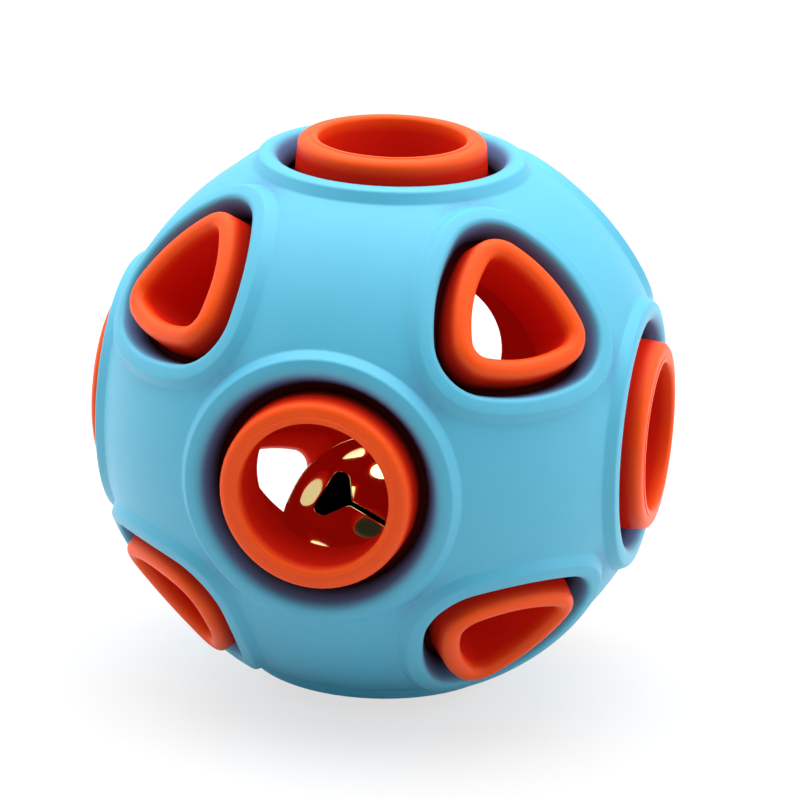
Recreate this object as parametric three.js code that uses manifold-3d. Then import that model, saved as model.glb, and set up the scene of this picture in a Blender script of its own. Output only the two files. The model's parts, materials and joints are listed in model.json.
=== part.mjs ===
// Pierced two-layer chew ball with a loose jingle bell trapped inside.
// Millimetres, +Z up. The origin is the centre of the ball, and the front round hole faces -Y.

import * as THREE from 'three';
import { mergeVertices } from 'three/addons/utils/BufferGeometryUtils.js';
import loadManifold from 'manifold-3d';

const solids = await loadManifold();
solids.setup();

// Outer shell: a hollow sphere with a raised rim, the pad, round each of its holes
const shellRadius = 32;
const shellWall = 2.8;
const padRise = 0.85;
const padFlankRun = 0.6;
const padWidth = 2.3;
const holeEdge = 0.55;

// Inner ball: a smaller hollow sphere that carries a collar for each hole of the shell
const layerClearance = 0.3;
const ballWall = 4;
const collarDraft = 0.3;

// Round openings on the six axes
const roundBoreRadius = 8.2;
const roundCollarWall = 2.2;
const roundCollarHeight = 2.6;
const roundCollarEdge = 0.6;
const roundMoat = 0.6;
const roundHoleFlare = 1.6;

// Triangular openings on the eight diagonals, each with its corners towards its three round neighbours
const triangleSideReach = 4.8;
const triangleCornerReach = 6.6;
const triangleCornerRound = 1.6;
const triangleCollarWall = 2.1;
const triangleCollarHeight = 3.3;
const triangleCollarEdge = 0.9;
const triangleMoat = 0.5;
const triangleHoleFlare = 1.45;

// Jingle bell: two pressed cups, a wire loop and a steel pellet
const bellRadius = 11.3;
const bellWall = 0.5;
const bellSeamClearance = 0.3;
const bellSleeveLength = 1;
const bellNeckLength = 1.8;
const bellRestClearance = 0.3;
const bellHeadingDeg = 23.2;
const loopRestClearance = 0.5;
const slitWidth = 0.5;
const slitTurnDeg = 145.3;
const fanMargin = 2.5;
const fanDepth = 2.95;
const fanWidth = 5.5;
const fanRound = 0.85;
const wireRadius = 0.6;
const wireClearance = 0.3;
const loopHeight = 2.75;
const loopHalfWidth = 2.3;
const loopFootSpread = 3.4;
const pelletRadius = 3;
const pelletClearance = 0.3;

// Bosses and cuts reach this far past the surface that trims them
const trim = 0.2;

// Points closer than this are one point
const weld = 1e-5;

// Facets
const skinDetail = 5;
const cavityDetail = 4;
const hiddenDetail = 3;
const roundPoints = 20;
const arcSteps = 3;
const bellSegments = 20;
const bellArcSteps = 6;
const lobeSteps = 2;
const wireSides = 6;
const wireSteps = 24;
const pelletDetail = 2;

// Sizes that follow from the ones above
const shellInside = shellRadius - shellWall;
const padCrest = shellRadius + padRise;
const ballRadius = shellInside - layerClearance;
const cavityRadius = ballRadius - ballWall;
const bellInside = bellRadius - bellWall;
const neckOutside = bellInside - bellSeamClearance;
const neckInside = neckOutside - bellWall;
const legOffset = wireRadius + wireClearance / 2;
const loopReach = bellRadius + loopHeight;
const pelletOrbit = neckInside - pelletClearance - pelletRadius;

// The bell lies on the edge of the bottom bore, with its loop leaning on the wall of the hollow
const bellDrop = Math.sqrt(cavityRadius ** 2 - roundBoreRadius ** 2)
  - Math.sqrt((bellRadius + bellRestClearance) ** 2 - roundBoreRadius ** 2);
const bellTilt = Math.asin(
  ((cavityRadius - loopRestClearance) ** 2 - bellDrop ** 2 - loopReach ** 2) / (2 * bellDrop * loopReach),
);

// Solids and booleans

function solidOf(geometry) {
  const bare = geometry.clone();
  bare.deleteAttribute('normal');
  bare.deleteAttribute('uv');
  const merged = mergeVertices(bare, weld);
  const corners = [];
  for (let i = 0; i < merged.index.count; i += 3) {
    const [a, b, c] = [0, 1, 2].map((k) => merged.index.getX(i + k));
    if (a !== b && b !== c && c !== a) corners.push(a, b, c);
  }
  return new solids.Manifold(new solids.Mesh({
    numProp: 3,
    vertProperties: new Float32Array(merged.attributes.position.array),
    triVerts: new Uint32Array(corners),
  }));
}

function geometryOf(solid) {
  const mesh = solid.getMesh();
  const geometry = new THREE.BufferGeometry();
  geometry.setAttribute('position', new THREE.BufferAttribute(mesh.vertProperties, 3));
  geometry.setIndex(new THREE.BufferAttribute(mesh.triVerts, 1));
  geometry.computeVertexNormals();
  return geometry;
}

function sphereSolid(radius, detail) {
  return solidOf(new THREE.IcosahedronGeometry(radius, detail));
}

// Half of space above (side 1) or below (side -1) the seam plane, as a block larger than the ball
function halfBlock(side) {
  const reach = 2 * padCrest;
  return solidOf(new THREE.BoxGeometry(2 * reach, 2 * reach, reach).translate(0, 0, side * reach / 2));
}

// Outlines: functions from an offset to a ring of points, so that one outline gives bore, wall and hole

function arcPoints(x, y, radius, from, to) {
  return new THREE.EllipseCurve(x, y, radius, radius, from, to).getPoints(arcSteps).slice(0, -1);
}

function circleOutline(radius) {
  return (offset) => new THREE.EllipseCurve(0, 0, radius + offset, radius + offset)
    .getPoints(roundPoints).slice(0, -1);
}

// Three bowed sides blended by three corner arcs, all tangent, with the first corner on +X
function triangleOutline(sideReach, cornerReach, cornerRound) {
  const third = 2 * Math.PI / 3;
  const cornerCentre = cornerReach - cornerRound;
  const lag = cornerCentre / 2 - sideReach;
  const sideRadius = (cornerRound ** 2 - 0.75 * cornerCentre ** 2 - lag ** 2) / (2 * (lag + cornerRound));
  const sideCentre = sideReach - sideRadius;
  const blend = Math.atan2(
    -sideCentre * Math.sin(third / 2), cornerCentre - sideCentre * Math.cos(third / 2),
  );
  return (offset) => [0, 1, 2].flatMap((k) => {
    const corner = k * third;
    const side = corner + third / 2;
    const half = third / 2 - blend;
    return [
      ...arcPoints(cornerCentre * Math.cos(corner), cornerCentre * Math.sin(corner),
        cornerRound + offset, corner - blend, corner + blend),
      ...arcPoints(sideCentre * Math.cos(side), sideCentre * Math.sin(side),
        sideRadius + offset, side - half, side + half),
    ];
  });
}

// Levels: how high a ring's points lie along the axis of the opening
const onPlane = (height) => () => height;
const onSphere = (radius) => (x, y) => Math.sqrt(radius ** 2 - x ** 2 - y ** 2);

// Closed skin through a stack of stations [offset, level], from the lowest to the highest
function loft(outline, stations) {
  const rings = stations.map(([offset, level]) => outline(offset)
    .map(({ x, y }) => new THREE.Vector3(x, y, level(x, y))));
  const ends = [stations[0], stations.at(-1)].map(([, level]) => new THREE.Vector3(0, 0, level(0, 0)));
  const count = rings[0].length;
  const points = [];
  for (let i = 0; i < count; i += 1) {
    const next = (i + 1) % count;
    points.push(ends[0], rings[0][next], rings[0][i]);
    for (let s = 0; s + 1 < rings.length; s += 1) {
      const [low, high] = [rings[s], rings[s + 1]];
      points.push(low[i], low[next], high[next], low[i], high[next], high[i]);
    }
    points.push(ends[1], rings.at(-1)[i], rings.at(-1)[next]);
  }
  return new THREE.BufferGeometry().setFromPoints(points);
}

// The pattern of openings

const axisDirections = ['x', 'y', 'z'].flatMap((axis) => [1, -1].map((sign) => {
  const direction = new THREE.Vector3();
  direction[axis] = sign;
  return direction;
}));
const diagonalDirections = [1, -1].flatMap((x) => [1, -1].flatMap((y) => [1, -1]
  .map((z) => new THREE.Vector3(x, y, z).normalize())));

// Turns +Z to the opening's direction, and +X as near as it goes to the vertical or, at a pole, to +X
function facing(direction) {
  const upright = Math.abs(direction.z) === 1
    ? new THREE.Vector3(1, 0, 0)
    : new THREE.Vector3(0, 0, direction.z < 0 ? -1 : 1);
  const corner = upright.projectOnPlane(direction).normalize();
  return new THREE.Matrix4().makeBasis(corner, direction.clone().cross(corner), direction);
}

const openings = [
  ...axisDirections.map((direction) => ({
    turn: facing(direction),
    outline: circleOutline(roundBoreRadius),
    rimHeight: ballRadius + roundCollarHeight,
    collarOffset: roundCollarWall,
    collarEdge: roundCollarEdge,
    holeOffset: roundCollarWall + collarDraft + roundMoat,
    holeFlare: roundHoleFlare,
  })),
  ...diagonalDirections.map((direction) => ({
    turn: facing(direction),
    outline: triangleOutline(triangleSideReach, triangleCornerReach, triangleCornerRound),
    rimHeight: ballRadius + triangleCollarHeight,
    collarOffset: triangleCollarWall,
    collarEdge: triangleCollarEdge,
    holeOffset: triangleCollarWall + collarDraft + triangleMoat,
    holeFlare: triangleHoleFlare,
  })),
];

// The raised rim round a hole: steep flank and level crest
function padSolid({ turn, outline, holeOffset, holeFlare }) {
  const foot = holeOffset + holeFlare + padWidth;
  return solidOf(loft(outline, [
    [foot, onSphere(shellRadius - shellWall / 2)],
    [foot, onSphere(shellRadius)],
    [foot - padFlankRun, onSphere(padCrest)],
    [holeOffset, onSphere(padCrest)],
  ]).applyMatrix4(turn));
}

// A hole that flares from the inside of the shell to its mouth, where the edge is chamfered
function holeSolid({ turn, outline, holeOffset, holeFlare }) {
  const mouth = holeOffset + holeFlare;
  const lean = holeFlare / (padCrest - shellInside);
  return solidOf(loft(outline, [
    [holeOffset, onSphere(cavityRadius)],
    [holeOffset, onSphere(shellInside)],
    [mouth - lean * holeEdge, onSphere(padCrest - holeEdge)],
    [mouth + holeEdge + trim * (1 + lean), onSphere(padCrest + trim)],
    [holeOffset, onSphere(padCrest + padRise)],
  ]).applyMatrix4(turn));
}

// The collar that stands in a hole: drafted wall, flat rim, both edges chamfered
function collarSolid({ turn, outline, rimHeight, collarOffset, collarEdge }) {
  return solidOf(loft(outline, [
    [collarOffset + collarDraft, onSphere(ballRadius - ballWall / 2)],
    [collarOffset, onPlane(rimHeight - collarEdge)],
    [collarOffset - collarEdge, onPlane(rimHeight)],
    [collarEdge, onPlane(rimHeight)],
    [-trim, onPlane(rimHeight - collarEdge - trim)],
  ]).applyMatrix4(turn));
}

function boreSolid({ turn, outline, rimHeight }) {
  return solidOf(loft(outline, [
    [0, onPlane(cavityRadius - roundBoreRadius)],
    [0, onPlane(rimHeight + trim)],
  ]).applyMatrix4(turn));
}

// A hollow sphere with bosses added and cuts taken out. Its skin may have more facets than its inside.
function piercedLayer(skin, inside, bosses, cuts) {
  const full = bosses.reduce((body, boss) => body.add(boss), skin);
  return [inside, ...cuts].reduce((body, cut) => body.subtract(cut), full);
}

// Jingle bell, on its own axis: the slotted pole is +Z and the loop is at -Z

// A cup of revolution about Z, from a profile of radius and height that starts and ends on the axis
function revolve(profile) {
  return solidOf(new THREE.LatheGeometry(profile, bellSegments).rotateX(Math.PI / 2));
}

// Points of a sphere's meridian between two heights
function meridian(radius, fromHeight, toHeight) {
  const [from, to] = [fromHeight, toHeight].map((height) => Math.asin(height / radius));
  return Array.from({ length: bellArcSteps + 1 }, (_, i) => {
    const angle = THREE.MathUtils.lerp(from, to, i / bellArcSteps);
    const atPole = Math.abs(angle) === Math.PI / 2;
    return new THREE.Vector2(atPole ? 0 : radius * Math.cos(angle), radius * Math.sin(angle));
  });
}

// The plain cup ends in a straight sleeve, and has a hole at its pole for the loop's two legs
function plainCup() {
  const legHole = legOffset + wireRadius + wireClearance;
  const drill = new THREE.CylinderGeometry(legHole, legHole, bellRadius, 2 * wireSides)
    .rotateX(Math.PI / 2).translate(0, 0, -bellRadius);
  const cup = revolve([
    ...meridian(bellRadius, -bellRadius, 0),
    new THREE.Vector2(bellRadius, bellSleeveLength),
    new THREE.Vector2(bellInside, bellSleeveLength),
    ...meridian(bellInside, 0, -bellInside),
  ]);
  return geometryOf(cup.subtract(solidOf(drill)));
}

// A slit across the pole that opens at each end into a fan with a straight back and two round lobes
function slotOutline() {
  const half = slitWidth / 2;
  const fanBack = bellRadius - fanMargin;
  const fanTip = fanBack - fanDepth;
  const [lobeX, lobeY] = [fanBack - fanRound, fanWidth / 2 - fanRound];
  const run = new THREE.Vector2(lobeX - fanTip, lobeY - half);
  const flank = run.angle() + Math.asin(fanRound / run.length());
  const shape = new THREE.Shape();
  [1, -1].forEach((end) => {
    const facing = end > 0 ? 0 : Math.PI;
    shape.lineTo(end * fanTip, -end * half);
    shape.absarc(end * lobeX, -end * lobeY, fanRound, facing - flank - Math.PI / 2, facing);
    shape.absarc(end * lobeX, end * lobeY, fanRound, facing, facing + flank + Math.PI / 2);
    shape.lineTo(end * fanTip, end * half);
  });
  return shape;
}

// The slotted cup's neck tucks into the sleeve, and its shoulder stops short of the sleeve's end
function slottedCup() {
  const shoulder = bellSleeveLength + bellSeamClearance;
  const neckEnd = shoulder - bellNeckLength;
  const cup = revolve([
    ...meridian(bellInside, bellInside, shoulder + bellWall),
    new THREE.Vector2(neckInside, shoulder + bellWall),
    new THREE.Vector2(neckInside, neckEnd),
    new THREE.Vector2(neckOutside, neckEnd),
    new THREE.Vector2(neckOutside, shoulder),
    ...meridian(bellRadius, shoulder, bellRadius),
  ]);
  const slot = new THREE.ExtrudeGeometry(slotOutline(), {
    depth: bellRadius, bevelEnabled: false, curveSegments: lobeSteps,
  });
  slot.rotateZ(THREE.MathUtils.degToRad(slitTurnDeg)).translate(0, 0, shoulder + bellWall);
  return geometryOf(cup.subtract(solidOf(slot)));
}

// A wire eye whose legs pass through the plain cup side by side and spread out inside it
function wireLoop() {
  const footDepth = Math.sqrt(bellInside ** 2 - loopFootSpread ** 2) - wireRadius - wireClearance;
  const eyeTop = loopReach - wireRadius;
  const half = [
    [loopFootSpread, footDepth],
    [legOffset + wireRadius, footDepth],
    [legOffset, footDepth + 2 * wireRadius],
    [legOffset, bellRadius],
    [loopHalfWidth - wireRadius, (bellRadius + eyeTop) / 2],
  ];
  const points = [
    ...half.map(([x, depth]) => new THREE.Vector3(-x, 0, -depth)),
    new THREE.Vector3(0, 0, -eyeTop),
    ...half.toReversed().map(([x, depth]) => new THREE.Vector3(x, 0, -depth)),
  ];
  const wire = new THREE.EllipseCurve(0, 0, wireRadius, wireRadius);
  return new THREE.ExtrudeGeometry(new THREE.Shape(wire.getPoints(wireSides).slice(0, -1)), {
    steps: wireSteps, extrudePath: new THREE.CatmullRomCurve3(points),
  });
}

// Assembly

function piece(name, geometry, material) {
  const mesh = new THREE.Mesh(geometry, material);
  mesh.name = name;
  return mesh;
}

const blueRubber = new THREE.MeshStandardMaterial({ color: '#5bb0d4', roughness: 0.6, metalness: 0 });
const orangeRubber = new THREE.MeshStandardMaterial({ color: '#ee5a2c', roughness: 0.55, metalness: 0 });
const giltSteel = new THREE.MeshStandardMaterial({ color: '#e0a83c', roughness: 0.15, metalness: 1 });
const brightSteel = new THREE.MeshStandardMaterial({ color: '#b9bcc0', roughness: 0.3, metalness: 1 });

const shell = piercedLayer(
  sphereSolid(shellRadius, skinDetail), sphereSolid(shellInside, hiddenDetail),
  openings.map(padSolid), openings.map(holeSolid),
);
const ball = piercedLayer(
  sphereSolid(ballRadius, hiddenDetail), sphereSolid(cavityRadius, cavityDetail),
  openings.map(collarSolid), openings.map(boreSolid),
);
const [above, below] = [halfBlock(1), halfBlock(-1)];

const bell = new THREE.Group();
bell.position.z = -bellDrop;
bell.rotation.set(Math.PI / 2 - bellTilt, 0, THREE.MathUtils.degToRad(bellHeadingDeg), 'ZXY');
const pellet = piece('bell_pellet', geometryOf(sphereSolid(pelletRadius, pelletDetail)), brightSteel);
pellet.position.y = -pelletOrbit;
bell.add(
  piece('bell_plain_cup', plainCup(), giltSteel),
  piece('bell_slotted_cup', slottedCup(), giltSteel),
  piece('bell_loop', wireLoop(), giltSteel),
  pellet,
);

const chewBall = new THREE.Group();
chewBall.add(
  piece('outer_shell_upper', geometryOf(shell.intersect(above)), blueRubber),
  piece('outer_shell_lower', geometryOf(shell.intersect(below)), blueRubber),
  piece('inner_ball_upper', geometryOf(ball.intersect(above)), orangeRubber),
  piece('inner_ball_lower', geometryOf(ball.intersect(below)), orangeRubber),
  bell,
);

export default chewBall;
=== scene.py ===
import json
import math

import bmesh
import bpy
from mathutils import Matrix, Vector
from mathutils.kdtree import KDTree


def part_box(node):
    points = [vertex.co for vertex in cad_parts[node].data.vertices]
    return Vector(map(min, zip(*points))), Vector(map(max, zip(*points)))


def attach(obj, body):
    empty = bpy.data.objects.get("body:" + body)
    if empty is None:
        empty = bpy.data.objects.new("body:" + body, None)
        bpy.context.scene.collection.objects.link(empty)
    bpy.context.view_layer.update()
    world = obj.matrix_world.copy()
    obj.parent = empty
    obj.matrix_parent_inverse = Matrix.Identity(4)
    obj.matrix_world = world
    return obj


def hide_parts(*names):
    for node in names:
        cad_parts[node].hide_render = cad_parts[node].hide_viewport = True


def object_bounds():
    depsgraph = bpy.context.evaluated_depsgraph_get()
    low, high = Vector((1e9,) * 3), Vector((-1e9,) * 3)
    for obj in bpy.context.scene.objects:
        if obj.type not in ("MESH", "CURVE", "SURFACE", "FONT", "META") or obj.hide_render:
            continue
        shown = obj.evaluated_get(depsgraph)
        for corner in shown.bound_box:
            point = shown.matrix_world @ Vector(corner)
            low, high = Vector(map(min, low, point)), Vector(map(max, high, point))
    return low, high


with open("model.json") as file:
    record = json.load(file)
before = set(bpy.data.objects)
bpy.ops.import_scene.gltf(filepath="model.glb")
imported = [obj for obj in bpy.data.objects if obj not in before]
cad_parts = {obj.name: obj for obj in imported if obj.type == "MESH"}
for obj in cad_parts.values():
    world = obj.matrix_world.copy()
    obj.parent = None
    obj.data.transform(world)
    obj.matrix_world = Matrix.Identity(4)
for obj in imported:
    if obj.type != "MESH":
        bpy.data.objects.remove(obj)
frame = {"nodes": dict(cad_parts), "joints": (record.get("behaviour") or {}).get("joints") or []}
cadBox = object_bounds()
mm = 0.001                      # sizes below are in millimetres
weld = 0.001 * mm               # points closer than this are one point
print("frame loaded:", sorted(frame["nodes"]))


# Helpers for the tools used by hand

def deselectAll():
    if bpy.context.object and bpy.context.object.mode != "OBJECT":
        bpy.ops.object.mode_set(mode="OBJECT")
    bpy.ops.object.select_all(action="DESELECT")


def choose(piece):              # selects it alone and makes it the active one
    deselectAll()
    piece.select_set(True)
    bpy.context.view_layer.objects.active = piece


def named(name):                # the primitive that was just added, in edit mode
    piece = bpy.context.object
    piece.name = name
    piece.data.name = name
    bpy.ops.object.mode_set(mode="EDIT")
    return piece


def applied(piece, kind, **settings):
    modifier = piece.modifiers.new(kind.title(), kind)
    for setting, value in settings.items():
        setattr(modifier, setting, value)
    bpy.ops.object.modifier_apply(modifier=modifier.name)


def finderOf(ring):
    finder = KDTree(len(ring))
    for index, point in enumerate(ring):
        finder.insert(point, index)
    finder.balance()
    return finder


def selectWhere(piece, test):
    bpy.ops.mesh.select_all(action="DESELECT")
    mesh = bmesh.from_edit_mesh(piece.data)
    for vert in mesh.verts:
        vert.select = test(vert.co)
    mesh.select_flush(True)
    bmesh.update_edit_mesh(piece.data)


def selectRing(piece, ring):
    finder = finderOf(ring)
    selectWhere(piece, lambda co: finder.find(co)[2] < weld)


def growThrough(piece, rings):  # extrudes the selected ring out to each next one
    for ring, target in zip(rings, rings[1:]):
        bpy.ops.mesh.extrude_edges_indiv()
        finder = finderOf(ring)
        mesh = bmesh.from_edit_mesh(piece.data)
        for vert in mesh.verts:
            if vert.select:
                vert.co = target[finder.find(vert.co)[1]]
        bmesh.update_edit_mesh(piece.data)


def startRing(name, ring):      # a circle with as many points as the ring, laid on it
    deselectAll()
    bpy.ops.mesh.primitive_circle_add(vertices=len(ring), radius=mm)
    piece = named(name)
    mesh = bmesh.from_edit_mesh(piece.data)
    for vert, point in zip(mesh.verts, ring):
        vert.co = point
    bmesh.update_edit_mesh(piece.data)
    return piece


def closeSkin(piece):           # merges what meets and turns the faces outwards
    bpy.ops.mesh.select_all(action="SELECT")
    bpy.ops.mesh.remove_doubles(threshold=weld)
    bpy.ops.mesh.normals_make_consistent(inside=False)
    if bmesh.from_edit_mesh(piece.data).calc_volume(signed=True) < 0:
        bpy.ops.mesh.flip_normals()     # a thin slotted wall can come out inside out
    bpy.ops.object.mode_set(mode="OBJECT")


def dress(piece, body, slot, material, *nodes, sharpAngle=60):
    choose(piece)
    bpy.ops.object.shade_smooth_by_angle(angle=math.radians(sharpAngle))
    piece.data.materials.clear()
    piece.data.materials.append(material)
    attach(piece, body)
    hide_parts(*nodes)
    print(piece.name, "made,", len(piece.data.polygons), "faces")


def rounded(corners, steps=6):  # a line through corners (x, y, radius), each turned on a tangent arc
    points = [Vector(corners[0][:2])]
    for before, corner, after in zip(corners, corners[1:], corners[2:]):
        at, radius = Vector(corner[:2]), corner[2]
        into = (at - Vector(before[:2])).normalized()
        out = (Vector(after[:2]) - at).normalized()
        turn = into.angle(out)
        side = (out - into * out.dot(into)).normalized()
        start = at - into * radius * math.tan(turn / 2)
        for k in range(steps + 1):
            bend = turn * k / steps
            points.append(start + radius * (into * math.sin(bend) + side * (1 - math.cos(bend))))
    points.append(Vector(corners[-1][:2]))
    return points


def between(ring, target, steps):  # rings on the way from one to the other, round the centre
    return [
        [a.slerp(b, k / steps) * (a.length + (b.length - a.length) * k / steps)
         for a, b in zip(ring, target)]
        for k in range(1, steps + 1)
    ]


# Nodes

def linear(code):
    channels = [int(code[k:k + 2], 16) / 255 for k in (1, 3, 5)]
    return [c / 12.92 if c <= 0.04045 else ((c + 0.055) / 1.055) ** 2.4 for c in channels] + [1]


def addNode(tree, kind, settings):  # a setting is a plain value or another node's output
    node = tree.nodes.new(kind)
    for name, value in settings.items():
        if isinstance(value, bpy.types.NodeSocket):
            tree.links.new(value, node.inputs[name])
        elif isinstance(name, int) or name in node.inputs:
            node.inputs[name].default_value = value
        else:
            setattr(node, name, value)
    return node


def maths(tree, operation, first, second):
    return addNode(tree, "ShaderNodeMath", {"operation": operation, 0: first, 1: second}).outputs[0]


def mapRange(tree, value, start, end, low=0, high=1, **settings):
    return addNode(tree, "ShaderNodeMapRange", {
        "Value": value, "From Min": start, "From Max": end, "To Min": low, "To Max": high,
        **settings}).outputs[0]


def mixColours(tree, share, first, second):
    return addNode(tree, "ShaderNodeMix", {
        "data_type": "RGBA", 0: share, 6: first, 7: second}).outputs[2]


def mixValues(tree, share, first, second):
    return addNode(tree, "ShaderNodeMix", {0: share, 2: first, 3: second}).outputs[0]


def noise(tree, place, size, detail, roughness=0.5):
    return addNode(tree, "ShaderNodeTexNoise", {
        "Vector": place, "Scale": 1 / (size * mm), "Detail": detail,
        "Roughness": roughness}).outputs["Fac"]


def newTree(name):
    material = bpy.data.materials.new(name)
    material.use_nodes = True
    material.node_tree.nodes.clear()
    return material, material.node_tree


# Materials

def mouldedRubber(name, look):
    # thermoplastic rubber from an eroded mould: satin, a fine grain, colour a little uneven where it
    # flowed, with painted shade that makes it deeper in the bores and dusky down in the grooves,
    # standing in for the shade and the coloured light the two layers throw on each other
    material, tree = newTree(name)
    place = addNode(tree, "ShaderNodeTexCoord", {}).outputs["Object"]
    flow = noise(tree, place, look["flowSize"], detail=3, roughness=0.55)
    grain = noise(tree, place, look["grainSize"], detail=2)
    painted = addNode(tree, "ShaderNodeAttribute", {"attribute_name": "depth"}).outputs["Vector"]
    depth = addNode(tree, "ShaderNodeSeparateXYZ", {0: painted})
    soft = {"interpolation_type": "SMOOTHSTEP"}
    # painted shade: down a groove or a bore the colour turns to a deeper tint, and nearly black at a
    # groove's bottom
    wall = mapRange(tree, depth.outputs["X"], look["shadeTintFrom"], look["shadeTintTo"], **soft)
    bore = mapRange(tree, depth.outputs["Y"], 0, 1, **soft)
    sunk = maths(tree, "MAXIMUM", wall, bore)
    deepShadeShare = mapRange(tree, depth.outputs["X"], look["deepShadeFrom"], look["deepShadeTo"], **soft)
    colour = mixColours(tree, flow, linear(look["deep"]), linear(look["pale"]))
    colour = mixColours(tree, sunk, colour, linear(look["shadeTint"]))
    colour = mixColours(tree, deepShadeShare, colour, linear(look["deepShade"]))
    bump = addNode(tree, "ShaderNodeBump", {
        "Strength": 0.5, "Distance": look["grainDepth"] * mm, "Height": grain})
    rubber = addNode(tree, "ShaderNodeBsdfPrincipled", {
        "IOR": 1.5, "Base Color": colour, "Normal": bump.outputs[0],
        "Roughness": mapRange(tree, flow, 0, 1, *look["gloss"]),
        "Specular IOR Level": mapRange(tree, sunk, 0, 1, look["sheen"], 0)})
    addNode(tree, "ShaderNodeOutputMaterial", {"Surface": rubber.outputs[0]})
    return material


def pressedSteel(name, look):
    # bright plating or plain steel: a mirror with slight dents from the press and dull finger marks,
    # and inside the bell a painted shade, dark and dull
    material, tree = newTree(name)
    place = addNode(tree, "ShaderNodeTexCoord", {}).outputs["Object"]
    dents = noise(tree, place, look["dentSize"], detail=1)
    marks = noise(tree, place, look["markSize"], detail=4, roughness=0.6)
    marked = (0.45, 0.75)       # the noise's levels where a finger mark starts and is full
    gloss = mapRange(tree, marks, *marked, *look["gloss"])
    colour = mixColours(tree, marks, linear(look["deep"]), linear(look["pale"]))
    # painted shade: near-black inside the bell, within a sphere about its centre
    if "bare" in look:
        reach = addNode(tree, "ShaderNodeVectorMath",
                        {"operation": "DISTANCE", 0: place, 1: look["centre"]}).outputs["Value"]
        inside = mapRange(tree, reach, (look["bareWithin"] + look["bareFade"]) * mm,
                          (look["bareWithin"] - look["bareFade"]) * mm)
        colour = mixColours(tree, inside, colour, linear(look["bare"]))
        gloss = mixValues(tree, inside, gloss, look["bareGloss"])
    bump = addNode(tree, "ShaderNodeBump", {
        "Strength": 0.4, "Distance": look["dentDepth"] * mm, "Height": dents})
    metal = addNode(tree, "ShaderNodeBsdfPrincipled", {
        "Metallic": 1, "Base Color": colour, "Roughness": gloss, "Normal": bump.outputs[0]})
    addNode(tree, "ShaderNodeOutputMaterial", {"Surface": metal.outputs[0]})
    return material


# each rubber's last two colours are painted shade: a deeper tint down its grooves and bores, and a
# near-black at the grooves' bottom
blueRubber = mouldedRubber("moulded_blue_rubber", {
    "deep": "#4cb0d0", "pale": "#59bcdb", "flowSize": 11, "grainSize": 0.3, "grainDepth": 0.02,
    "gloss": (0.4, 0.52), "sheen": 0.55, "shadeTint": "#5e7caa", "shadeTintFrom": 0.02, "shadeTintTo": 0.4,
    "deepShade": "#34222e", "deepShadeFrom": 0.3, "deepShadeTo": 0.95})
orangeRubber = mouldedRubber("moulded_orange_rubber", {
    "deep": "#f9500a", "pale": "#ff5912", "flowSize": 9, "grainSize": 0.3, "grainDepth": 0.02,
    "gloss": (0.38, 0.5), "sheen": 0.24, "shadeTint": "#e22715", "shadeTintFrom": 0.05, "shadeTintTo": 0.45,
    "deepShade": "#3c1010", "deepShadeFrom": 0.6, "deepShadeTo": 1.05})
print("rubbers made")


# The holes that both layers share: six round ones on the axes, eight triangular ones on the diagonals

holes = {
    "roundBore": 8.2,           # radius of a round bore
    "triangleSide": 4.8,        # centre of a triangular bore to the middle of a side
    "triangleCorner": 6.6,      # and to the tip of a corner
    "triangleRound": 1.6,       # radius of that corner
    "arcSteps": 16,             # points along each arc of an outline
}
axes = [Vector((1, 0, 0)), Vector((0, 1, 0)), Vector((0, 0, 1))]


def heading(angle):
    return Vector((math.cos(angle), math.sin(angle)))


def arcPoints(centre, radius, fromAngle, toAngle):
    steps = holes["arcSteps"]
    return [centre + radius * heading(fromAngle + (toAngle - fromAngle) * k / steps)
            for k in range(steps)]


def triangleOutline(offset):    # three bowed sides blended by three corner arcs, the first corner on +X
    third = math.tau / 3
    side, cornerRound = holes["triangleSide"], holes["triangleRound"]
    cornerCentre = holes["triangleCorner"] - cornerRound
    lag = cornerCentre * math.cos(third / 2) - side
    aside = cornerCentre * math.sin(third / 2)
    sideRadius = (cornerRound ** 2 - aside ** 2 - lag ** 2) / (2 * (lag + cornerRound))
    sideCentre = side - sideRadius
    blend = math.atan2(-sideCentre * math.sin(third / 2),
                       cornerCentre - sideCentre * math.cos(third / 2))
    half = third / 2 - blend
    points = []
    for corner in (0, third, 2 * third):
        middle = corner + third / 2
        points += arcPoints(cornerCentre * heading(corner), cornerRound + offset,
                            corner - blend, corner + blend)
        points += arcPoints(sideCentre * heading(middle), sideRadius + offset,
                            middle - half, middle + half)
    return points


# A station is (offset from the bore, level, flat, depth in the groove, depth in the bore)
# Its level is a plane's height if it is flat, or else a sphere's radius, and both depths are shares that
# set how much painted shade the rubber gets there

def heightAt(station, reach):
    level, flat = station[1:3]
    return level if flat else math.sqrt(level ** 2 - reach ** 2)


def triangleRing(station):      # round the diagonal of the first octant, with a corner towards each axis
    diagonal, towardX = Vector((1, 1, 1)).normalized(), Vector((2, -1, -1)).normalized()
    across = diagonal.cross(towardX)
    return [mm * (diagonal * heightAt(station, p.length) + towardX * p.x + across * p.y)
            for p in triangleOutline(station[0])]


def quarterArc(axis, station):  # the stretch of a round hole's ring that lies in the first octant
    along, end, start = (axes[(axis + k) % 3] for k in range(3))
    reach = holes["roundBore"] + station[0]
    turns = [math.pi / 2 * k / holes["arcSteps"] for k in range(holes["arcSteps"] + 1)]
    return [mm * (heightAt(station, reach) * along + reach * (math.sin(t) * end + math.cos(t) * start))
            for t in turns]


def roundRing(station):
    return [point for axis in range(3) for point in quarterArc(axis, station)]


def webEdge(station):           # the octant's border: three quarter arcs and the seams between them
    steps = holes["arcSteps"]
    points = []
    for axis in range(3):
        arc = quarterArc(axis, station)
        ahead = quarterArc((axis + 1) % 3, station)[0]
        points += arc[:-1] + [arc[-1].slerp(ahead, k / steps) * ahead.length for k in range(steps)]
    return points


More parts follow.
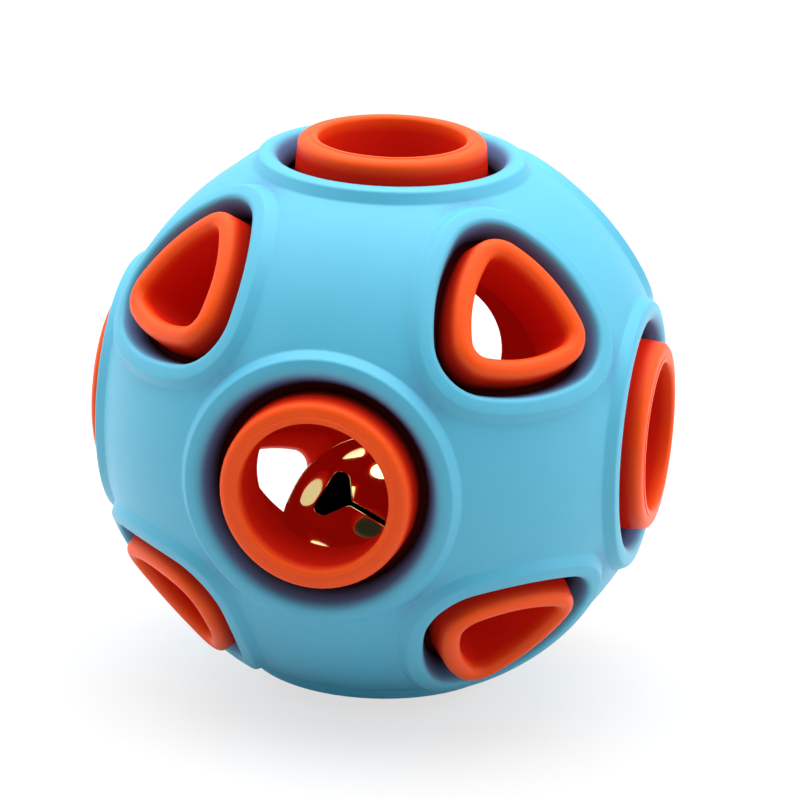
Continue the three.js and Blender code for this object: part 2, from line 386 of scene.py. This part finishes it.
def paintDepth(piece, rings, stations):     # each point gets the depths of the nearest station, the attribute that sets the painted shade
    finder = finderOf([point for ring in rings for point in ring])
    depths = [station[3:] for ring, station in zip(rings, stations) for point in ring]
    depth = piece.data.attributes.new("depth", "FLOAT_VECTOR", "POINT")
    for vert, entry in zip(piece.data.vertices, depth.data):
        inOctant = Vector([abs(c) for c in vert.co])
        entry.vector = (*depths[finder.find(inOctant)[1]], 0)


def paintValleyShade(piece, feet, valleyShade):       # painted shade: a little darker where the feet of two pads come close
    finders = [finderOf(ring) for ring in feet]
    for vert, entry in zip(piece.data.vertices, piece.data.attributes["depth"].data):
        inOctant = Vector([abs(c) for c in vert.co])
        gap = sum(finder.find(inOctant)[2] for finder in finders) / mm
        entry.vector.x = max(entry.vector.x, valleyShade["depth"] * (1 - gap / valleyShade["width"]))


def piercedLayer(name, triangleStations, roundStations, webSteps):  # an octant, mirrored to a ball
    triangles = [triangleRing(station) for station in triangleStations]
    rounds = [roundRing(station) for station in roundStations]
    piece = startRing(name, triangles[0])
    growThrough(piece, triangles + between(triangles[-1], webEdge(roundStations[-1]), webSteps))
    selectRing(piece, triangles[0])
    growThrough(piece, [triangles[0]] + between(triangles[0], webEdge(roundStations[0]), webSteps))
    selectRing(piece, rounds[0])
    growThrough(piece, rounds)
    closeSkin(piece)
    applied(piece, "MIRROR", use_axis=(True, True, True), use_clip=True, merge_threshold=weld)
    bpy.ops.object.mode_set(mode="EDIT")
    closeSkin(piece)
    paintDepth(piece, triangles + rounds, triangleStations + roundStations)
    return piece


# Outer shell: each hole has a raised rim, the pad, with a soft flank and a crest that dishes into it

shellLook = {
    "radius": 32, "wall": 2.8, "padRise": 0.85, "flankRun": 0.65,
    "footRound": 0.3, "crestRound": 0.3, "backRound": 0.4, "webSteps": 10,
    # distances from the edge of a bore, then how far the crest dishes and how round its edge is
    "round": {"gap": 3.1, "mouth": 4.9, "foot": 7.2, "dish": 0.3, "edge": 2.2},
    "triangle": {"gap": 2.9, "mouth": 4.35, "foot": 6.65, "dish": 0.1, "edge": 0.9},
    # painted shade in the narrow valleys between two pads
    "valleyShade": {"width": 2.5, "depth": 0.22},
}


def padStations(pad):
    skin, back = shellLook["radius"], shellLook["radius"] - shellLook["wall"]
    crest = skin + shellLook["padRise"]
    ridge = pad["foot"] - shellLook["flankRun"]
    line = rounded([
        (pad["foot"] + shellLook["footRound"], skin),
        (pad["foot"], skin, shellLook["footRound"]),
        (ridge, crest, shellLook["crestRound"]),
        (pad["mouth"], crest - pad["dish"], pad["edge"]),
        (pad["gap"], back, shellLook["backRound"]),
        (pad["gap"] + 2 * shellLook["backRound"], back),
    ])
    # the share down a hole's wall sets the painted shade there
    return [(p.x, p.y, False, (crest - p.y) / (crest - back) if p.x < ridge else 0, 0) for p in line]


trianglePad, roundPad = padStations(shellLook["triangle"]), padStations(shellLook["round"])
outerShell = piercedLayer("shell", trianglePad, roundPad, shellLook["webSteps"])
paintValleyShade(outerShell, (triangleRing(trianglePad[0]), roundRing(roundPad[0])), shellLook["valleyShade"])
dress(outerShell, "outer_shell", "blue_rubber", blueRubber, "outer_shell_upper", "outer_shell_lower")


# Inner ball: a collar stands in each hole, the round ones with a thin flash left by the mould's core

ballLook = {
    "radius": 28.9, "wall": 4, "draft": 0.3, "boreEdge": 0.4,
    "roundWall": 2.2, "roundShoulder": 0.95, "roundLip": 0.45,
    "flashWidth": 0.75, "flashRise": 0.1, "flashSlope": 0.05, "flashRound": 0.03,
    "triangleWall": 2.1, "triangleRim": 32.2, "triangleShoulder": 1.05, "triangleLip": 1,
    "webSteps": 8,
    "boreShadeFade": 2,              # a bore's painted shade is at its deepest that far down
}
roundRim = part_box("inner_ball_upper")[1].z / mm     # the CAD's top collar gives the height of all six


def collarStations(reach, wall, rimCorners):        # rimCorners run from the shoulder to the bore
    skin, cavity = ballLook["radius"], ballLook["radius"] - ballLook["wall"]
    foot, edge, fade = wall + ballLook["draft"], ballLook["boreEdge"], ballLook["boreShadeFade"]
    footHeight = math.sqrt(skin ** 2 - (reach + foot) ** 2)
    rim = rimCorners[-1][1]
    halfway = (wall + ballLook["draft"] / 2, (footHeight + rim) / 2)
    # the groove and bore shares here set the painted shade on the collar and in its bore
    stations = [(foot + edge, skin, False, 1, 0), (foot, skin, False, 1, 0)]
    for p in rounded([halfway, *rimCorners, (0, rim - fade)]):
        outside, sunk = p.x > wall / 2, rim - p.y
        groove, bore = (sunk / (rim - footHeight), 0) if outside else (0, sunk / fade)
        stations.append((p.x, p.y, True, groove, bore))
    mouth = rounded([(0, cavity + 2 * edge), (0, cavity, edge), (2 * edge, cavity)])
    return stations + [(p.x, p.y, False, 0, 1) for p in mouth]


flashFoot = roundRim - ballLook["flashRise"]
roundCollar = collarStations(holes["roundBore"], ballLook["roundWall"], [
    (ballLook["roundWall"], flashFoot, ballLook["roundShoulder"]),
    (ballLook["flashWidth"] + ballLook["flashSlope"], flashFoot, ballLook["flashRound"]),
    (ballLook["flashWidth"], roundRim, ballLook["flashRound"]),
    (0, roundRim, ballLook["roundLip"]),
])
triangleCollar = collarStations(holes["triangleSide"], ballLook["triangleWall"], [
    (ballLook["triangleWall"], ballLook["triangleRim"], ballLook["triangleShoulder"]),
    (0, ballLook["triangleRim"], ballLook["triangleLip"]),
])
innerBall = piercedLayer("ball", triangleCollar, roundCollar, ballLook["webSteps"])
dress(innerBall, "inner_ball", "orange_rubber", orangeRubber, "inner_ball_upper", "inner_ball_lower")


# Jingle bell, modelled on its own axis with the slotted pole up, then laid where the CAD's pellet turns

bellLook = {
    "radius": 11.3, "wall": 0.5, "segments": 128, "cupRings": 64, "sharpAngle": 40,
    "seam": 0.3, "sleeve": 1, "neck": 1.8, "pressRound": 0.12, "domeSteps": 40, "backSteps": 16,
    "edge": 0.12, "edgeSteps": 3, "edgeAngle": 50,
    # the slot in plan: a slit, and a fan at each of its ends from tip to back
    "slitWidth": 0.5, "slitTurn": 145.3, "slotSpacing": 0.4,
    "fanTip": 5.85, "fanTipRound": 0.3, "fanBack": 8.8, "fanCorner": 4.74, "fanLobeRound": 0.85,
    # the loop
    "wire": 0.6, "wireSteps": 16, "wireSides": 6, "legHole": 1.65, "legOffset": 0.75,
    "eyeReach": 14.05, "eyeHalfWidth": 2.3, "footSpread": 3.4, "footGap": 0.3,
    # the pellet
    "pellet": 3, "pelletSegments": 64, "pelletRings": 33, "pelletOrbit": 6.7,
    "belt": 0.06, "beltReach": 0.18, "beltRound": 0.05, "beltSteps": 2,
}
pelletRoll = next(joint for joint in frame["joints"] if joint["name"] == "pellet_roll")
giltSteel = pressedSteel("gold_plated_steel", {
    "deep": "#e6ca86", "pale": "#f0d89c", "gloss": (0.05, 0.14),
    "dentSize": 7, "dentDepth": 0.03, "markSize": 3,
    # from here on, the painted shade inside the bell
    "centre": pelletRoll["pos_m"], "bareWithin": 11.05, "bareFade": 0.05,
    "bare": "#17120c", "bareGloss": 0.6})
brightSteel = pressedSteel("bright_steel", {
    "deep": "#b4b8bd", "pale": "#c6cacf", "gloss": (0.2, 0.35),
    "dentSize": 2, "dentDepth": 0.02, "markSize": 2})
bellAxis = Vector(pelletRoll["axis"])
bellPlace = (Matrix.Translation(pelletRoll["pos_m"])
             @ Matrix.Rotation(math.atan2(bellAxis.x, -bellAxis.y), 4, "Z")
             @ Matrix.Rotation(math.pi / 2 - math.asin(bellAxis.z), 4, "X"))


def layInBall(piece):
    choose(piece)
    piece.matrix_world = bellPlace
    bpy.ops.object.transform_apply()


def plainCup():                 # half a sphere with a straight sleeve, open at the pole for the legs
    deselectAll()
    bpy.ops.mesh.primitive_uv_sphere_add(segments=bellLook["segments"], ring_count=bellLook["cupRings"],
                                         radius=bellLook["radius"] * mm)
    piece = named("bell_cup_plain")
    bpy.ops.mesh.bisect(plane_co=(0, 0, 0), plane_no=(0, 0, 1), clear_outer=True)
    selectWhere(piece, lambda co: co.z > -weld)
    bpy.ops.mesh.extrude_region_move(TRANSFORM_OT_translate={"value": (0, 0, bellLook["sleeve"] * mm)})
    bpy.ops.mesh.select_all(action="SELECT")
    poleCut = -math.sqrt(bellLook["radius"] ** 2 - bellLook["legHole"] ** 2) * mm
    bpy.ops.mesh.bisect(plane_co=(0, 0, poleCut), plane_no=(0, 0, 1), clear_inner=True)
    closeSkin(piece)
    applied(piece, "SOLIDIFY", thickness=bellLook["wall"] * mm, offset=-1)
    applied(piece, "BEVEL", width=bellLook["edge"] * mm, segments=bellLook["edgeSteps"],
            limit_method="ANGLE", angle_limit=math.radians(bellLook["edgeAngle"]))
    return piece


def slotQuarter():              # in plan, from the middle of a fan to the middle of the slit
    half = bellLook["slitWidth"] / 2
    corners = rounded([
        (bellLook["fanBack"], 0),
        (bellLook["fanBack"], bellLook["fanCorner"], bellLook["fanLobeRound"]),
        (bellLook["fanTip"], half, bellLook["fanTipRound"]),
        (0, half),
    ], steps=10)
    line = corners[:1]
    for point in corners[1:]:
        start = line[-1]
        count = max(1, round((point - start).length / bellLook["slotSpacing"]))
        line += [start.lerp(point, k / count) for k in range(1, count + 1)]
    return line


def slottedCup():               # rings from the slot out to the shoulder, down the neck and back inside
    radius, wall, edge = bellLook["radius"], bellLook["wall"], bellLook["edge"]
    shoulder = bellLook["sleeve"] + bellLook["seam"]
    neckEnd = shoulder - bellLook["neck"]
    neckOut = radius - wall - bellLook["seam"]
    neckIn = neckOut - wall
    quarter = slotQuarter()
    plan = quarter[:-1] + [Vector((-p.x, p.y)) for p in reversed(quarter)][:-1]
    plan += [-p for p in plan]
    ahead = plan[1:] + plan[:1]
    lengths = [0]
    for point, after in zip(plan, ahead):
        lengths.append(lengths[-1] + (after - point).length)
    bearings = [heading(math.tau * length / lengths[-1]) for length in lengths[:-1]]
    outward = []
    for k, after in enumerate(ahead):
        along = after - plan[k - 1]
        outward.append(Vector((along.y, -along.x)).normalized())

    def slotRing(offset, level):
        spots = [p + n * offset for p, n in zip(plan, outward)]
        return [mm * Vector((s.x, s.y, math.sqrt(level ** 2 - s.length_squared))) for s in spots]

    def rimRing(reach, height):
        return [mm * Vector((reach * b.x, reach * b.y, height)) for b in bearings]

    lip = [slotRing(*p) for p in rounded(
        [(0, radius - wall / 2), (0, radius, edge), (2 * edge, radius)], steps=4)]
    back = [slotRing(*p) for p in rounded(
        [(2 * edge, radius - wall), (0, radius - wall, edge), (0, radius - wall / 2)], steps=4)]
    turn = bellLook["pressRound"]
    neck = [rimRing(*p) for p in rounded([
        (math.sqrt(radius ** 2 - (shoulder + turn) ** 2), shoulder + turn),
        (math.sqrt(radius ** 2 - shoulder ** 2), shoulder, turn),
        (neckOut, shoulder, turn / 2),
        (neckOut, neckEnd, turn / 4),
        (neckIn, neckEnd, turn / 4),
        (neckIn, shoulder + wall, turn / 2),
        (math.sqrt((radius - wall) ** 2 - (shoulder + wall) ** 2), shoulder + wall),
    ], steps=4)]
    rings = (lip + between(lip[-1], neck[0], bellLook["domeSteps"]) + neck[1:]
             + between(neck[-1], back[0], bellLook["backSteps"]) + back[1:])
    piece = startRing("bell_cup_slotted", rings[0])
    growThrough(piece, rings)
    bpy.ops.mesh.select_all(action="SELECT")
    bpy.ops.transform.rotate(value=-math.radians(bellLook["slitTurn"]), orient_axis="Z",
                             center_override=(0, 0, 0))
    closeSkin(piece)
    return piece


def wireLoop():                 # an eye whose two legs pass through the plain cup and spread inside it
    radius, wire, leg = bellLook["radius"], bellLook["wire"], bellLook["legOffset"]
    inside = radius - bellLook["wall"]
    foot = math.sqrt(inside ** 2 - bellLook["footSpread"] ** 2) - wire - bellLook["footGap"]
    eyeTop = bellLook["eyeReach"] - wire
    half = [
        (bellLook["footSpread"], foot),
        (leg + wire, foot),
        (leg, foot + 2 * wire),
        (leg, radius),
        (bellLook["eyeHalfWidth"] - wire, (radius + eyeTop) / 2),
    ]
    route = [(-x, depth) for x, depth in half] + [(0, eyeTop)] + list(reversed(half))
    deselectAll()
    bpy.ops.curve.primitive_nurbs_path_add()
    piece = bpy.context.object
    piece.name = "bell_eye"
    spline = piece.data.splines[0]
    spline.points.add(len(route) - len(spline.points))
    for point, (x, depth) in zip(spline.points, route):
        point.co = (x * mm, 0, -depth * mm, 1)
    spline.order_u = 3
    spline.use_endpoint_u = True
    piece.data.resolution_u = bellLook["wireSteps"]
    piece.data.bevel_depth = wire * mm
    piece.data.bevel_resolution = bellLook["wireSides"]
    piece.data.use_fill_caps = True
    bpy.ops.object.convert(target="MESH")
    return piece


def pellet():                   # a cold-headed ball with the belt that its two dies leave
    deselectAll()
    bpy.ops.mesh.primitive_uv_sphere_add(
        segments=bellLook["pelletSegments"], ring_count=bellLook["pelletRings"],
        radius=bellLook["pellet"] * mm)
    piece = named("bell_ball")
    selectWhere(piece, lambda co: abs(co.z) < bellLook["beltReach"] * mm)
    bpy.ops.transform.resize(value=[1 + bellLook["belt"] / bellLook["pellet"]] * 2 + [1],
                             center_override=(0, 0, 0))
    bpy.ops.mesh.bevel(offset=bellLook["beltRound"] * mm, segments=bellLook["beltSteps"])
    bpy.ops.mesh.select_all(action="SELECT")
    bpy.ops.transform.translate(value=(0, -bellLook["pelletOrbit"] * mm, 0))
    bpy.ops.object.mode_set(mode="OBJECT")
    return piece


for make, body, node, slot, material in (
    (plainCup, "bell", "bell_plain_cup", "gilt_steel", giltSteel),
    (slottedCup, "bell", "bell_slotted_cup", "gilt_steel", giltSteel),
    (wireLoop, "bell", "bell_loop", "gilt_steel", giltSteel),
    (pellet, "pellet", "bell_pellet", "bright_steel", brightSteel),
):
    made = make()
    layInBall(made)
    dress(made, body, slot, material, node, sharpAngle=bellLook["sharpAngle"])


# Camera at the photo's place: a long lens, a little above and to the right of the front hole

photoView = {
    "azimuth": 13.22, "elevation": 18.84, "roll": 1.79, "distance": 488, "nearest": 10,
    "focalPixels": 4342, "photoPixels": 800, "sensor": 36,
    "ballX": 384.4, "ballY": 406.7,         # the ball's centre in the photo
}
azimuth, elevation = math.radians(photoView["azimuth"]), math.radians(photoView["elevation"])
back = Vector((math.sin(azimuth) * math.cos(elevation), -math.cos(azimuth) * math.cos(elevation),
               math.sin(elevation)))
level = axes[2].cross(back).normalized()
rollTurn = Matrix.Rotation(math.radians(photoView["roll"]), 3, back)
right, up = rollTurn @ level, rollTurn @ back.cross(level)
pixel = photoView["distance"] * mm / photoView["focalPixels"]      # one pixel's width at the ball
middle = photoView["photoPixels"] / 2
spot = (back * photoView["distance"] * mm - right * (photoView["ballX"] - middle) * pixel
        + up * (photoView["ballY"] - middle) * pixel)
bpy.ops.object.camera_add()
camera = bpy.context.object
camera.name = "photo_camera"
camera.matrix_world = Matrix.Translation(spot) @ Matrix((right, up, back)).transposed().to_4x4()
camera.data.sensor_width = photoView["sensor"]
camera.data.lens = photoView["sensor"] * photoView["focalPixels"] / photoView["photoPixels"]
camera.data.clip_start = photoView["nearest"] * mm
bpy.context.scene.camera = camera
print("camera set")


# Pale floor and soft studio light

studio = {
    "floorSize": 4000, "floorColour": "#fbfbfb", "bounceColour": "#c8c8c8", "floorGlow": 0.7,
    # the sky as light, and in mirrors at the sides and overhead
    "skyLight": 0.58, "sideGleam": 0.85, "topGleam": 4, "gleamFrom": 0.55, "gleamTo": 0.95,
    # the room behind the camera is dim
    "dimTowards": (0, -0.77, 0.64), "dimFrom": 0.6, "dimTo": 0.93, "dimShare": 0.03,
    "keySize": 800, "keyAt": (-20, 60, 520), "keyPower": 5.2,
    "sideSize": 700, "sideAt": (560, 150, 160), "sidePower": 2.1,
}


def rayKinds(tree):             # the eye's own rays, and those that come by a mirror or glass
    path = addNode(tree, "ShaderNodeLightPath", {})
    glossy, through = path.outputs["Is Glossy Ray"], path.outputs["Is Transmission Ray"]
    return path.outputs["Is Camera Ray"], maths(tree, "MAXIMUM", glossy, through)


def floorPaint():               # matt paper: white to the eye, but it throws less light up than it shows
    material, tree = newTree("white_paper")
    direct, mirrored = rayKinds(tree)
    thrown = addNode(tree, "ShaderNodeBsdfDiffuse", {"Color": linear(studio["bounceColour"])})
    paper = addNode(tree, "ShaderNodeBsdfDiffuse", {"Color": linear(studio["floorColour"])})
    glow = addNode(tree, "ShaderNodeEmission", {"Color": linear(studio["floorColour"])})
    shine = maths(tree, "MULTIPLY", direct, studio["floorGlow"])
    seen = addNode(tree, "ShaderNodeMixShader", {0: shine, 1: paper.outputs[0], 2: glow.outputs[0]})
    shown = maths(tree, "MAXIMUM", mirrored, direct)
    both = addNode(tree, "ShaderNodeMixShader", {0: shown, 1: thrown.outputs[0], 2: seen.outputs[0]})
    addNode(tree, "ShaderNodeOutputMaterial", {"Surface": both.outputs[0]})
    return material


def studioWorld():              # white to the eye, bright in mirrors, softer as light, dim in front
    world = bpy.data.worlds.new("studio")
    world.use_nodes = True
    tree = world.node_tree
    tree.nodes.clear()
    direct, mirrored = rayKinds(tree)
    direction = addNode(tree, "ShaderNodeTexCoord", {}).outputs["Generated"]
    height = addNode(tree, "ShaderNodeSeparateXYZ", {0: direction}).outputs["Z"]
    gleam = mapRange(tree, height, studio["gleamFrom"], studio["gleamTo"],
                     studio["sideGleam"], studio["topGleam"])
    strength = mixValues(tree, mirrored, studio["skyLight"], gleam)
    ahead = addNode(tree, "ShaderNodeVectorMath", {
        "operation": "DOT_PRODUCT", 0: direction, 1: studio["dimTowards"]}).outputs["Value"]
    dim = mapRange(tree, ahead, studio["dimFrom"], studio["dimTo"], 1, studio["dimShare"])
    light = maths(tree, "MULTIPLY", strength, dim)
    sky = addNode(tree, "ShaderNodeBackground", {
        "Color": (1, 1, 1, 1), "Strength": maths(tree, "MAXIMUM", light, direct)})
    addNode(tree, "ShaderNodeOutputWorld", {"Surface": sky.outputs[0]})
    return world


def lamp(name, size, power, spotAt):
    bpy.ops.object.light_add(type="AREA", location=[c * mm for c in spotAt])
    light = bpy.context.object
    light.name = name
    light.data.size = size * mm
    light.data.energy = power
    light.rotation_euler = Vector(spotAt).to_track_quat("Z", "Y").to_euler()
    light.visible_glossy = False    # mirrors show the even sky instead


deselectAll()
bpy.ops.mesh.primitive_plane_add(size=studio["floorSize"] * mm, location=(0, 0, cadBox[0][2]))
floor = bpy.context.object
floor.name = "floor"
floor.data.materials.append(floorPaint())

lamp("key_softbox", studio["keySize"], studio["keyPower"], studio["keyAt"])
sideX, sideY, sideZ = studio["sideAt"]
lamp("right_softbox", studio["sideSize"], studio["sidePower"], (sideX, sideY, sideZ))
lamp("left_softbox", studio["sideSize"], studio["sidePower"], (-sideX, sideY, sideZ))

bpy.context.scene.world = studioWorld()
bpy.context.scene.view_settings.view_transform = "Standard"
print("studio set")
